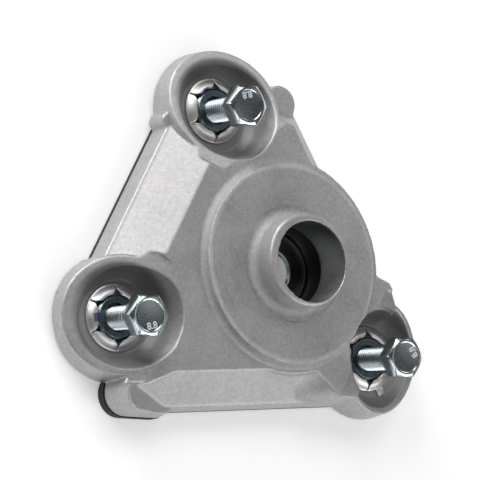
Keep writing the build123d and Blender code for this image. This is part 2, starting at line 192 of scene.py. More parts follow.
class ClipSettings(bpy.types.PropertyGroup):
    """Star clips."""

    seat: length("Seat", "Height of the cup floor that the clips sit on", 6.3)
    radius: length("Radius", "Outer radius of the rim", 11.2)
    rim: length("Rim width", "Width of the unbroken rim", 0.7)
    tip: length("Tip radius", "Radius that the petals' tips close on", 7.56)
    crown: length("Crown", "Height of the petals' crest over the seat", 2.45)
    thickness: length("Thickness", "Thickness of the sheet", 0.6)
    gap: length("Slot", "Width of the slots between the petals", 0.5)
    notch: length("Notch", "Width of the notches at the petals' tips", 3.4)
    notch_reach: length("Notch reach", "Radius where the notches close to a slot", 9.5)
    unevenness: length("Unevenness", "How much the petals differ in height", 0.12)
    tab_width: length("Tab width", "Width of the right clip's tab", 3.0)
    tab_reach: length("Tab reach", "Radius of the tab's end", 13.6)
    tab_heading: degrees("Tab heading", "Direction of the tab", -33)

    def rise_rows(self):
        """Section of a petal from the rim to its tip, as radius and height over the seat."""
        span = self.radius - self.tip
        shape = (
            (0.0, 0.24), (0.10, 0.30), (0.22, 0.46), (0.38, 0.68), (0.54, 0.86),
            (0.70, 0.965), (0.84, 1.0), (0.94, 0.97), (1.0, 0.90),
        )
        return [(self.radius - 0.03 * MM - share * span, high * self.crown) for share, high in shape]


class TrimSettings(bpy.types.PropertyGroup):
    """Colours of the bush, collars, clips and gasket."""

    collar: colour("Collar", "Colour of the blue passivated collars", (0.17, 0.20, 0.21))
    # Colour of the painted reflection of the dark thread in the collars and clips
    paint: colour("Painted thread reflection", "Colour of the paint spots on the collars", (0.025, 0.036, 0.10))
    spring: colour("Spring steel", "Colour of the star clips", (0.84, 0.80, 0.77))
    steel: colour("Bush steel", "Colour of the shell and the plate", (0.50, 0.51, 0.52))
    rubber: colour("Rubber", "Colour of the bush rubber and the gasket", (0.007, 0.007, 0.008))
    # The ridge's lighter ring is painted highlight, as light caught by the raised ridge
    ridge: length("Rubber ridge", "Radius of the rubbed ridge on the bush rubber", 12.8)
    nylon: colour("Nylon", "Colour of the grip rings", (0.10, 0.14, 0.30))


class StageSettings(bpy.types.PropertyGroup):
    """Floor, light and camera."""

    floor: colour("Floor", "Colour of the pale floor", (0.90, 0.90, 0.90))
    light: amount("Light", "Strength of all the soft lights", 1.42)
    glow: amount("Floor glow", "Own light of the floor, as of a lit table", 0.34)
    sky: amount("Sky", "Strength of the light from all round", 0.035)
    lens: amount("Lens", "Focal length in millimetres", 218.648)
    reach: length("Floor reach", "Half the width of the floor", 4000.0)
    distance: length("Light distance", "Distance of the soft lights from the part", 1500.0)
    width: length("Light width", "Width of the soft lights", 700.0)


# Shader maths


class Wire:
    """A shader value that Python arithmetic works on."""

    def __init__(self, finish, socket):
        self.finish = finish
        self.socket = socket

    def maths(self, operation, *others):
        """Result of a Math node on this value and others."""
        return self.finish.node("ShaderNodeMath", {"operation": operation}, [self, *others])

    def after(self, operation, other):
        """Result of a Math node on another value and this one."""
        return self.finish.node("ShaderNodeMath", {"operation": operation}, [other, self])

    def __add__(self, other):
        return self.maths("ADD", other)

    def __sub__(self, other):
        return self.maths("SUBTRACT", other)

    def __mul__(self, other):
        return self.maths("MULTIPLY", other)

    def __pow__(self, other):
        return self.maths("POWER", other)

    def __rsub__(self, other):
        return self.after("SUBTRACT", other)

    def __rpow__(self, other):
        return self.after("POWER", other)

    __radd__ = __add__
    __rmul__ = __mul__

    def step(self, low, high):
        """Soft step from 0 at low to 1 at high, or falling where low is above high."""
        flip = low > high
        ends = (high, low) if flip else (low, high)
        settings = {"interpolation_type": "SMOOTHSTEP", "clamp": True}
        inputs = {"Value": self, "From Min": ends[0], "From Max": ends[1]}
        eased = self.finish.node("ShaderNodeMapRange", settings, inputs)
        return 1 - eased if flip else eased

    def zone(self, name):
        """Soft step at a named edge of the casting."""
        low, high = ZONES[name]
        return self.step(low * MM, high * MM)

    def ring(self, name, radius):
        """Soft step at a named ring edge, counted from a radius."""
        low, high = RINGS[name]
        return self.step(radius + low * MM, radius + high * MM)


def most(wires):
    """Largest of several shader values."""
    first, *others = wires
    for other in others:
        first = first.maths("MAXIMUM", other)
    return first


class Finish:
    """Builds one procedural material round a Principled shader."""

    def __init__(self, name):
        self.material = bpy.data.materials.new(name)
        self.material.use_nodes = True
        self.tree = self.material.node_tree
        self.shader = self.tree.nodes["Principled BSDF"]
        self.place = self.node("ShaderNodeTexCoord", out="Object")

    def node(self, kind, settings=None, inputs=None, out=0):
        """Adds a node, sets it, joins its inputs and returns one output."""
        made = self.tree.nodes.new(kind)
        for key, value in (settings or {}).items():
            setattr(made, key, value)
        pairs = inputs.items() if isinstance(inputs, dict) else enumerate(inputs or [])
        for key, value in pairs:
            self.feed(made.inputs[key], value)
        return Wire(self, made.outputs[out])

    def feed(self, socket, value):
        """Links or sets one input."""
        if isinstance(value, Wire):
            self.tree.links.new(value.socket, socket)
        elif isinstance(value, (int, float)):
            socket.default_value = value
        else:
            value = tuple(value)
            wide = len(socket.default_value) == 4 and len(value) == 3
            socket.default_value = (*value, 1.0) if wide else value

    def put(self, **values):
        """Feeds the shader's own sockets; underscores stand for spaces."""
        for key, value in values.items():
            self.feed(self.shader.inputs[key.replace("_", " ")], value)

    def noise(self, size, detail=3.0, roughness=0.55, place=None, seed=0.0):
        """Noise with features of about this size in metres."""
        inputs = {
            "Vector": place or self.place, "W": seed, "Scale": 1.0 / size,
            "Detail": detail, "Roughness": roughness,
        }
        return self.node("ShaderNodeTexNoise", {"noise_dimensions": "4D"}, inputs)

    def rings(self, along, scale):
        """Noise along one number, such as a radius, so that it runs in rings."""
        inputs = {"W": along, "Scale": scale, "Detail": 2.0}
        return self.node("ShaderNodeTexNoise", {"noise_dimensions": "1D"}, inputs)

    def stored(self, name):
        """Number stored on the mesh under a name."""
        return self.node("ShaderNodeAttribute", {"attribute_name": name}, out="Fac")

    def toned(self, base, shade):
        """Colour made darker or lighter by a number."""
        return self.mix(1.0, base, self.node("ShaderNodeCombineXYZ", None, [shade] * 3), "MULTIPLY")

    def cells(self, size):
        """Distance to the nearest of scattered points, in cells."""
        inputs = {"Vector": self.place, "Scale": 1.0 / size}
        return self.node("ShaderNodeTexVoronoi", {"feature": "F1"}, inputs, out="Distance")

    def mix(self, share, first, second, blend="MIX"):
        """Colour between two colours."""
        settings = {"data_type": "RGBA", "blend_type": blend}
        return self.node("ShaderNodeMix", settings, {0: share, 6: first, 7: second}, out=2)

    def moved(self, offset=(0, 0, 0), turn=(0, 0, 0), scale=(1, 1, 1)):
        """Object coordinates, moved, turned and scaled."""
        inputs = {"Vector": self.place, "Location": offset, "Rotation": turn, "Scale": scale}
        return self.node("ShaderNodeMapping", {"vector_type": "POINT"}, inputs)

    def parts_of(self, place):
        """The three numbers of a place."""
        first = self.node("ShaderNodeSeparateXYZ", None, [place])
        return [Wire(self, output) for output in first.socket.node.outputs]

    def reach(self, point):
        """Distance of the surface from a point, in metres."""
        settings = {"operation": "DISTANCE"}
        return self.node("ShaderNodeVectorMath", settings, [self.place, point], out="Value")

    def soft_edge(self, radius):
        """Normal that rounds sharp edges."""
        return self.node("ShaderNodeBevel", {"samples": 6}, {"Radius": radius}, out="Normal")

    def bump(self, height, depth, strength=1.0, normal=None):
        """Normal of a height pattern, depth in metres."""
        inputs = {"Strength": strength, "Distance": depth, "Height": height}
        if normal is not None:
            inputs["Normal"] = normal
        return self.node("ShaderNodeBump", None, inputs)


def dyed(tint, red, green, blue):
    """Colour with its three parts multiplied."""
    return [part * share for part, share in zip(tint, (red, green, blue))]


def cup_zones(skin, settings):
    """Insides of the cups, the sides of them that get painted shade, and their spot faces, from 0 to 1."""
    x, y, _ = skin.parts_of(skin.place)
    cups, side_shades, faces = [], [], []
    for number in BOLTS:
        end = bolt_end(number)
        toward = math.radians(SHADED_SIDES[number])
        side = (x - end.x) * math.cos(toward) + (y - end.y) * math.sin(toward)
        cups.append(skin.reach((end.x, end.y, CUP_MIDDLE * MM)).zone("cup"))
        # Painted shade: the walls on the side of each cup toward its heading are darker
        side_shades.append(cups[-1] * side.zone("side_shade"))
        faces.append(skin.reach((end.x, end.y, settings.cup_floor)).zone("spot face"))
    return most(cups), most(side_shades), most(faces)


def cast_aluminium(settings):
    """Shot-blasted die casting: grain, cloudy patches, dark pits and turning marks on the boss, with painted shade
    in the cups and creases and painted highlight on edges and spot faces.
    """
    skin = Finish("cast aluminium")
    grain = skin.noise(settings.grain, 3.0, 0.7)
    coarse = skin.noise(settings.grain * 2.6, 3.0, 0.6, seed=3.0)
    clouds = skin.noise(9 * MM, 3.0, 0.55, seed=5.0)
    broad = skin.noise(26 * MM, 2.0, 0.5, seed=8.0)
    wear = skin.stored("wear")
    # Convex edges are lighter and smoother: patchy edge wear together with painted highlight along the edges
    edge = wear.step(0.64, 0.96) * (0.35 + coarse.step(0.35, 0.62) * 0.65)
    # Painted shade: the creases are darker
    crease_shade = wear.step(0.44, 0.12)
    cups, side_shade, faces = cup_zones(skin, settings)
    pits = skin.cells(2.6 * MM).step(0.11, 0.05) * skin.noise(3 * MM, 1.0, 0.5, seed=2.0).step(0.60, 0.68)

    # The turned boss, its brink, the foot of the tube and the bore
    x, y, z = skin.parts_of(skin.moved(offset=(-settings.boss_middle, 0, 0)))
    radius = (x * x + y * y) ** 0.5
    boss = radius.ring("boss", settings.boss_reach) * z.zone("boss height")
    bore = radius.zone("bore") * z.zone("bore height")
    foot = radius.zone("foot outside") * radius.zone("foot inside")
    brink = radius.ring("brink inside", settings.boss_reach) * radius.ring("brink outside", settings.boss_reach)
    dull = (foot + brink * (1 - edge * 0.6)) * z.zone("dull height")
    rings = skin.rings(radius, 1900.0)
    patchy = skin.noise(14 * MM, 2.0, 0.5, seed=12.0).step(0.42, 0.62)
    turned = boss * patchy * (rings - 0.5)
    seat = radius.ring("seat outside", settings.seat_ring) * radius.ring("seat inside", settings.seat_ring)
    seat = seat * boss * x.zone("seat side") * skin.noise(11 * MM, 1.0, seed=15.0).step(0.38, 0.55)
    streaks = skin.moved(turn=(0, 0, 0.6), scale=(1.0, 0.06, 1.0))
    scuffs = skin.noise(1.1 * MM, 2.0, 0.5, place=streaks, seed=4.0)
    scuffs = scuffs.step(0.70, 0.76) * skin.noise(16 * MM, 1.0, seed=6.0).step(0.50, 0.62)

    # Colour
    speckle = (grain - 0.5) * 0.85 + (coarse - 0.5) * 0.45
    shade = 0.94 + speckle * (1 - cups * 0.6) + (clouds - 0.5) * 0.30 + (broad - 0.5) * 0.22
    # Lighter convex edges: patchy wear and painted highlight
    shade = (shade + turned * 0.22 + scuffs * 0.10 + edge * 0.20) * (1 - pits * 0.55) * (1 - seat * 0.35)
    # Painted shade: darker creases, darker walls inside the cups, and darker still on one side of each cup
    shade = shade * (1 - crease_shade * 0.25) * (1 - cups * (1 - edge) * 0.36) * (1 - side_shade * 0.50)
    # The spot faces round the collars are smoother, and lighter as a painted highlight seen through the clips'
    # notches; the bore is darker and greener
    shade = shade * (1 - bore * 0.42) * (1 + faces * 0.7)
    tint = skin.mix(clouds.step(0.35, 0.7), settings.tint, dyed(settings.tint, 1.0, 0.99, 0.985))
    tint = skin.mix(bore, tint, dyed(settings.tint, 0.93, 1.0, 0.99))

    # Shine and relief
    rough = 0.52 + (clouds - 0.5) * 0.14 + (grain - 0.5) * 0.22 - boss * patchy * 0.05 + cups * 0.04
    rough = rough + dull * 0.2 - bore * 0.14 - edge * 0.10 - faces * 0.2 + pits * 0.2
    height = (grain * 0.6 + coarse * 0.5) * (1 - cups * 0.6) - pits * 1.6 + turned * 0.5 - seat * 1.4
    normal = skin.bump(height, 0.075 * MM, 0.9)
    metal = 0.88 - cups * 0.32 - dull * 0.45
    skin.put(Base_Color=skin.toned(tint, shade), Metallic=metal, Roughness=rough, Normal=normal)
    return skin.material


def zinc_plate(name, tint, roughness=0.2, dark=0.0, metal=1.0, grainy=0.012, groove_shade=0.0):
    """Zinc plating with fine grain and a bluish cast in places, and painted shade down the thread's groove."""
    plate = Finish(name)
    fine = plate.noise(0.35 * MM, 3.0, 0.6)
    broad = plate.noise(4 * MM, 2.0, 0.5, seed=7.0)
    cool = dyed(tint, 0.86, 0.97, 1.0)
    base = plate.mix(broad.step(0.35, 0.65), tint, cool)
    shade = 0.92 - dark + (fine - 0.5) * 0.25
    # Painted shade: darker toward the root of the thread's groove
    if groove_shade:
        shade = shade * (1 - plate.stored("groove") * groove_shade)
    rough = roughness + (fine - 0.5) * 0.12 + (broad - 0.5) * 0.1
    normal = plate.bump(fine, grainy * MM, 0.6)
    plate.put(Base_Color=plate.toned(base, shade), Metallic=metal, Roughness=rough, Normal=normal)
    return plate.material


def reflection_bands(steel, wobble):
    """Painted reflection of the dark thread: bands that run outward from two of the bolts."""
    bands = []
    for number, heading, start, finish, half in THREAD_REFLECTIONS:
        end = bolt_end(number)
        turn = math.radians(heading)
        x, y, _ = steel.parts_of(steel.place)
        along = (x - end.x) * math.cos(turn) + (y - end.y) * math.sin(turn) + wobble
        across = ((y - end.y) * math.cos(turn) - (x - end.x) * math.sin(turn)).maths("ABSOLUTE") + wobble
        band = across.step(half * MM, half * MM - 0.5 * MM) * along.step(start * MM, start * MM + 0.4 * MM)
        bands.append(band * along.step(finish * MM, finish * MM - 0.5 * MM))
    return most(bands)


def collar_steel(settings):
    """Blue passivated collar with a fine grain and small bands of painted reflection of the dark thread."""
    steel = Finish("passivated collar steel")
    fine = steel.noise(0.3 * MM, 3.0, 0.6)
    broad = steel.noise(3 * MM, 2.0, 0.5, seed=1.0)
    teal = dyed(settings.collar, 0.80, 1.04, 1.06)
    base = steel.mix(broad.step(0.4, 0.65), settings.collar, teal)
    # Painted reflection: dark bands where the thread is mirrored, duller and less metallic
    paint = reflection_bands(steel, (fine - 0.5) * 0.9 * MM)
    base = steel.mix(paint * 0.85, base, settings.paint)
    rough = 0.27 + (fine - 0.5) * 0.14 + paint * 0.16
    normal = steel.bump(fine, 0.012 * MM, 0.6, steel.soft_edge(0.25 * MM))
    steel.put(Base_Color=base, Metallic=1 - paint * 0.6, Roughness=rough, Normal=normal)
    return steel.material


def spring_steel(settings):
    """Pressed spring steel of the star clips, warm and lightly rubbed."""
    steel = Finish("spring steel")
    fine = steel.noise(0.4 * MM, 3.0, 0.6)
    broad = steel.noise(5 * MM, 2.0, 0.5, seed=9.0)
    cool = dyed(settings.spring, 0.80, 0.86, 0.93)
    base = steel.mix(broad.step(0.38, 0.64), settings.spring, cool)
    base = steel.toned(base, 0.93 + (fine - 0.5) * 0.5)
    # Painted reflection: dark bands where the thread is mirrored on the petals
    paint = reflection_bands(steel, (fine - 0.5) * 0.9 * MM)
    base = steel.mix(paint * 0.9, base, settings.paint)
    rough = 0.40 + (broad - 0.5) * 0.16 + (fine - 0.5) * 0.16
    normal = steel.bump(fine, 0.02 * MM, 0.7, steel.soft_edge(0.22 * MM))
    steel.put(Base_Color=base, Metallic=1 - paint * 0.6, Roughness=rough, Normal=normal)
    return steel.material


def moulded_rubber(name, tint, roughness, ridge=None):
    """Black rubber with a fine moulded skin, a little dust and perhaps a painted highlight along a ridge."""
    rubber = Finish(name)
    fine = rubber.noise(0.5 * MM, 3.0, 0.6)
    dust = rubber.noise(7 * MM, 3.0, 0.6, seed=2.0).step(0.5, 0.75)
    base = rubber.mix(dust * 0.2, tint, (0.04, 0.04, 0.038))
    if ridge:
        x, y, _ = rubber.parts_of(rubber.place)
        off = ((x * x + y * y) ** 0.5 - ridge).maths("ABSOLUTE")
        # Painted highlight: a lighter ring along the raised ridge
        ridge_highlight = off.step(0.55 * MM, 0.2 * MM) * rubber.noise(5 * MM, 2.0, seed=3.0).step(0.2, 0.5)
        base = rubber.mix(ridge_highlight * 0.7, base, (0.16, 0.165, 0.165))
    rough = roughness + dust * 0.2 + (fine - 0.5) * 0.1
    normal = rubber.bump(fine, 0.03 * MM, 0.6, rubber.soft_edge(0.3 * MM))
    rubber.put(Base_Color=base, Roughness=rough, Normal=normal)
    return rubber.material


def pressed_steel(name, tint, roughness=0.34):
    """Plain steel with turning rings about the rod axis."""
    steel = Finish(name)
    fine = steel.noise(0.4 * MM, 3.0, 0.6)
    x, y, z = steel.parts_of(steel.place)
    radius = (x * x + y * y) ** 0.5
    rings = steel.rings(radius + z, 3800.0)
    base = steel.toned(tint, 0.9 + (fine - 0.5) * 0.2 + (rings - 0.5) * 0.35)
    rough = roughness + (rings - 0.5) * 0.15
    normal = steel.bump(rings, 0.02 * MM, 0.6, steel.soft_edge(0.25 * MM))
    steel.put(Base_Color=base, Metallic=1.0, Roughness=rough, Normal=normal)
    return steel.material


def nylon(settings):
    """Blue nylon with a faint moulded grain."""
    plastic = Finish("blue nylon")
    fine = plastic.noise(0.5 * MM, 3.0, 0.6)
    base = plastic.mix(fine.step(0.3, 0.7), settings.nylon, dyed(settings.nylon, 0.75, 0.75, 0.75))
    plastic.put(Base_Color=base, Roughness=0.4 + (fine - 0.5) * 0.1, Normal=plastic.bump(fine, 0.02 * MM, 0.5))
    return plastic.material


def pale_floor(settings):
    """Plain pale floor with a barely visible cloudiness."""
    floor = Finish("pale floor")
    clouds = floor.noise(0.25, 2.0, 0.5)
    base = floor.mix(clouds.step(0.3, 0.7), settings.floor, dyed(settings.floor, 0.985, 0.985, 0.985))
    white = (1.0, 1.0, 1.0)
    floor.put(Base_Color=base, Roughness=0.75, Emission_Color=white, Emission_Strength=settings.glow)
    return floor.material


# Making pieces


def linked(name, data):
    """New object of some data, in the scene."""
    made = bpy.data.objects.new(name, data)
    bpy.context.scene.collection.objects.link(made)
    return made


def new_piece(name, mesh, materials, body, stands_for):
    """Object of a finished mesh that rides on a body and stands for CAD nodes."""
    piece = linked(name, mesh)
    for material in materials:
        mesh.materials.append(material)
    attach(piece, body)
    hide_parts(*stands_for)


def finished(data, steps=()):
    """Mesh of a mesh or text after modifiers, given as (kind, settings)."""
    carrier = linked("carrier", data)
    for kind, settings in steps:
        modifier = carrier.modifiers.new(kind.title(), kind)
        for key, value in settings.items():
            setattr(modifier, key, value)
    depsgraph = bpy.context.evaluated_depsgraph_get()
    done = bpy.data.meshes.new_from_object(carrier.evaluated_get(depsgraph))
    bpy.data.objects.remove(carrier)
    return done


def rounded_corners(angle):
    """Small bevel on the edges that turn by more than an angle in degrees."""
    limit = math.radians(angle)
    return "BEVEL", {"width": 0.14 * MM, "segments": 2, "limit_method": "ANGLE", "angle_limit": limit}


def shaded(mesh, smooth=True):
    """The same mesh with every face shaded smooth, or flat."""
    for polygon in mesh.polygons:
        polygon.use_smooth = smooth
    return mesh


def to_mesh(bm, name, smooth=True):
    """Mesh of a bmesh, smooth shaded or as it is."""
    mesh = bpy.data.meshes.new(name)
    bm.to_mesh(mesh)
    bm.free()
    return shaded(mesh) if smooth else mesh


def smooth_cad(node, material):
    """Gives a CAD node its material and smooth rounds with crisp corners."""
    piece = frame["nodes"][node]
    piece.data.materials.clear()
    piece.data.materials.append(material)
    shaded(piece.data)
    weld = piece.modifiers.new("Weld", "WELD")
    weld.merge_threshold = WELD
    split = piece.modifiers.new("Crisp corners", "EDGE_SPLIT")
    split.split_angle = math.radians(32)


def bolt_end(number):
    """Middle of a bolt's grip ring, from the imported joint."""
    turn = [joint for joint in frame["joints"] if joint["name"] == f"bolt_{number}_turn"][0]
    return Vector(turn["pos_m"])


def bolt_place(number, settings):
    """Matrix of a bolt's frame: its axis leans about the middle of its grip ring."""
    about = Matrix.Rotation(settings.lean_direction, 4, "Z")
    lean = Matrix.Rotation(settings.lean, 4, "Y")
    return Matrix.Translation(bolt_end(number)) @ about @ lean @ about.inverted()


def face_out(bm):
    """Turns the faces of a closed shape outward."""
    bmesh.ops.recalc_face_normals(bm, faces=bm.faces)
    if bm.calc_volume(signed=True) < 0:
        bmesh.ops.reverse_faces(bm, faces=bm.faces)


def drawn(bm, profile, closed=False):
    """Corners and edges of a profile in a bmesh, from radius and height."""
    verts = [bm.verts.new((r, 0, z)) for r, z in profile]
    following = verts[1:] + verts[:1] if closed else verts[1:]
    return verts, [bm.edges.new(pair) for pair in zip(verts, following)]


def turned_mesh(profile, steps, name, smooth=True, closed=False):
    """Mesh of a profile turned about Z. It meets the axis, or is closed in itself."""
    bm = bmesh.new()
    verts, edges = drawn(bm, profile, closed)
    bmesh.ops.spin(
        bm, geom=verts + edges, cent=(0, 0, 0), axis=(0, 0, 1), angle=math.tau, steps=steps, use_merge=True,
    )
    bmesh.ops.remove_doubles(bm, verts=bm.verts, dist=WELD)
    face_out(bm)
    return to_mesh(bm, name, smooth)


def threaded_shank(settings, top):
    """Rolled thread as a turned and lifted profile, with a pointed end and a plain neck."""
    steps, core_steps = 44, 48
    crest = settings.thread_radius
    root = crest - settings.thread_depth
    pitch = settings.pitch
    neck = 1.2 * MM
    turns = int((settings.shank - neck) / pitch)
    start = top - settings.shank

    # One pitch: share of the depth above the root, and share of the pitch
    shape = (
        (0, 0.0), (0, 0.125), (0.1, 0.157), (0.9, 0.409), (1, 0.44),
        (1, 0.56), (0.9, 0.591), (0.1, 0.843), (0, 0.875), (0, 1.0),
    )
    bm = bmesh.new()
    verts, edges = drawn(bm, [(root + rise * settings.thread_depth, start + share * pitch) for rise, share in shape])
    spun = bmesh.ops.spin(
        bm, geom=verts + edges, cent=(0, 0, 0), axis=(0, 0, 1), dvec=(0, 0, pitch / steps),
        angle=math.tau * (turns - 1), steps=steps * (turns - 1),
    )

    # Faces at both ends close the thread to a solid
    last = [item for item in spun["geom_last"] if isinstance(item, bmesh.types.BMVert)]
    bm.faces.new(verts)
    bm.faces.new(sorted(last, key=lambda vert: vert.co.z))
    bmesh.ops.remove_doubles(bm, verts=bm.verts, dist=0.01 * MM)
    bmesh.ops.holes_fill(bm, edges=[edge for edge in bm.edges if edge.is_boundary], sides=0)
    face_out(bm)

    core = root + 0.02 * MM
    run_out = start + pitch * turns
    bm.from_mesh(turned_mesh((
        (0, start), (root - 0.75 * MM, start), (core, start + 1.0 * MM), (core, run_out),
        (root + 0.1 * MM, run_out), (crest, run_out + 0.5 * MM), (crest, top), (0, top),
    ), core_steps, "shank core"))
    return to_mesh(bm, "threaded shank")


def hexagon_head(settings, base):
    """Forged hexagon head: a prism cut by a turned cone, with a shallow dish."""
    bm = bmesh.new()
    corner = settings.head_flats / 2 / math.cos(math.pi / 6)
    made = bmesh.ops.create_circle(bm, cap_ends=True, segments=6, radius=corner)
    bmesh.ops.translate(bm, verts=made["verts"], vec=(0, 0, base))
    lifted = bmesh.ops.extrude_face_region(bm, geom=list(bm.faces))
    top = [item for item in lifted["geom"] if isinstance(item, bmesh.types.BMVert)]
    bmesh.ops.translate(bm, verts=top, vec=(0, 0, settings.head_height))
    bmesh.ops.recalc_face_normals(bm, faces=bm.faces)
    prism = to_mesh(bm, "hexagon prism", smooth=False)

    # The cone reaches past the prism below and at its corners
    past = 1 * MM
    flat = settings.head_flats / 2 - settings.head_chamfer
    wide = corner + past
    drop = (wide - flat) * math.tan(math.radians(30))
    high = base + settings.head_height
    dish = high - settings.dish_depth
    cone = turned_mesh((
        (0, base - past), (wide, base - past), (wide, high - drop), (flat, high),
        (settings.dish_radius, high), (settings.dish_radius - 0.3 * MM, dish), (0, dish),
    ), 120, "turned cone", smooth=False)
    cutter = linked("turned cone", cone)
    head = finished(prism, [
        ("BOOLEAN", {"operation": "INTERSECT", "object": cutter, "solver": "EXACT"}),
        rounded_corners(28),
    ])
    bpy.data.objects.remove(cutter)
    return shaded(head)


def raised_mark(settings, angle, height):
    """Raised strength numerals near one side of the head, their feet toward the rim."""
    outward = 3.5 * MM
    text = bpy.data.curves.new("mark", "FONT")
    text.body = settings.mark
    text.align_x = "CENTER"
    text.align_y = "CENTER"
    text.size = settings.mark_size
    text.extrude = 0.12 * MM
    text.bevel_depth = 0.06 * MM
    text.bevel_resolution = 1
    mesh = shaded(finished(text), smooth=False)
    mesh.transform(
        Matrix.Rotation(angle, 4, "Z")
        @ Matrix.Translation((outward, 0, height))
        @ Matrix.Rotation(math.radians(90), 4, "Z")
    )
    return mesh


def smoothed(bm, verts, times):
    """Evens out some corners of a bmesh."""
    for _ in range(times):
        bmesh.ops.smooth_vert(bm, verts=verts, factor=0.5, use_axis_x=True, use_axis_y=True, use_axis_z=True)


def joined(meshes, name):
    """One mesh of several, each keeping its material number."""
    bm = bmesh.new()
    for number, mesh in meshes:
        before = len(bm.faces)
        bm.from_mesh(mesh)
        bm.faces.ensure_lookup_table()
        for face in bm.faces[before:]:
            face.material_index = number
    done = bpy.data.meshes.new(name)
    bm.to_mesh(done)
    bm.free()
    return done


# Steps of the build


class STRUT_OT_cast_body(bpy.types.Operator):
    """Round the edges of the die casting and give it its blasted skin"""

    bl_idname = "strut.cast_body"
    bl_label = "Cast body"

    def execute(self, context):
        settings = context.scene.strut_cast
        material = cast_aluminium(settings)
        bm = bmesh.new()
        bm.from_mesh(frame["nodes"]["housing"].data)
        bmesh.ops.remove_doubles(bm, verts=bm.verts, dist=0.000002)
        cells = {"mode": "VOXEL", "voxel_size": settings.voxel, "adaptivity": 0.0}
        skin = finished(to_mesh(bm, "cast shape"), [("REMESH", cells)])
        bm = bmesh.new()
        bm.from_mesh(skin)
        ends = [bolt_end(number) for number in BOLTS]

        def machined(vert):
            height, reach = TURNED
            out = math.hypot(vert.co.x - settings.boss_middle, vert.co.y)
            return vert.co.z > height * MM and out < reach * MM

        def in_knee(vert):
            (inner, outer), (low, high) = KNEE
            out = min(math.hypot(vert.co.x - end.x, vert.co.y - end.y) for end in ends)
            return inner * MM < out < outer * MM and low * MM < vert.co.z < high * MM

        turned = [vert for vert in bm.verts if machined(vert)]
        rough = [vert for vert in bm.verts if not machined(vert)]
        smoothed(bm, rough, settings.rounding)
        smoothed(bm, [vert for vert in bm.verts if in_knee(vert)], settings.bowl_rounding)
        smoothed(bm, turned, settings.machined_rounding)
        self.mark_convexity(bm, full=0.22 * MM)
        shape = shaded(finished(to_mesh(bm, "rounded shape"), [("DECIMATE", {"ratio": settings.keep})]))
        new_piece("die_cast_body", shape, [material], "housing", ["housing"])
        return {"FINISHED"}

    def mark_convexity(self, bm, full):
        """Stores where the shape stands out, above 0.5, or is hollow, below it, full at a given distance."""
        bm.normal_update()
        softer = bm.copy()
        smoothed(softer, softer.verts, 7)
        layer = bm.verts.layers.float.new("wear")
        for vert, other in zip(bm.verts, softer.verts):
            sunk = (other.co - vert.co).dot(vert.normal) / full
            vert[layer] = min(1.0, max(0.0, 0.5 - 0.5 * sunk))
        softer.free()


class STRUT_OT_bush(bpy.types.Operator):
    """Dress the rod bush: shell, plate, rubber and sleeve"""

    bl_idname = "strut.bush"
    bl_label = "Rod bush"

    def execute(self, context):
        settings = context.scene.strut_trim
        steel = pressed_steel("bush steel", settings.steel)
        smooth_cad("bush_shell", steel)
        smooth_cad("bush_plate", steel)
        smooth_cad("bush_rubber", moulded_rubber("bush rubber", settings.rubber, 0.45, settings.ridge))
        smooth_cad("rod_sleeve", pressed_steel("sleeve zinc", context.scene.strut_bolts.zinc, 0.2))
        return {"FINISHED"}


class STRUT_OT_gasket(bpy.types.Operator):
    """Dress the mounting gasket"""

    bl_idname = "strut.gasket"
    bl_label = "Mounting gasket"

    def execute(self, context):
        smooth_cad("mounting_gasket", moulded_rubber("gasket rubber", context.scene.strut_trim.rubber, 0.6))
        return {"FINISHED"}


class STRUT_OT_collars(bpy.types.Operator):
    """Dress the collars and their nylon grip rings"""

    bl_idname = "strut.collars"
    bl_label = "Collars and grip rings"

    def execute(self, context):
        settings = context.scene.strut_trim
        collar = collar_steel(settings)
        grip = nylon(settings)
        for number in BOLTS:
            smooth_cad(f"bolt_collar_{number}", collar)
            smooth_cad(f"grip_ring_{number}", grip)
        return {"FINISHED"}


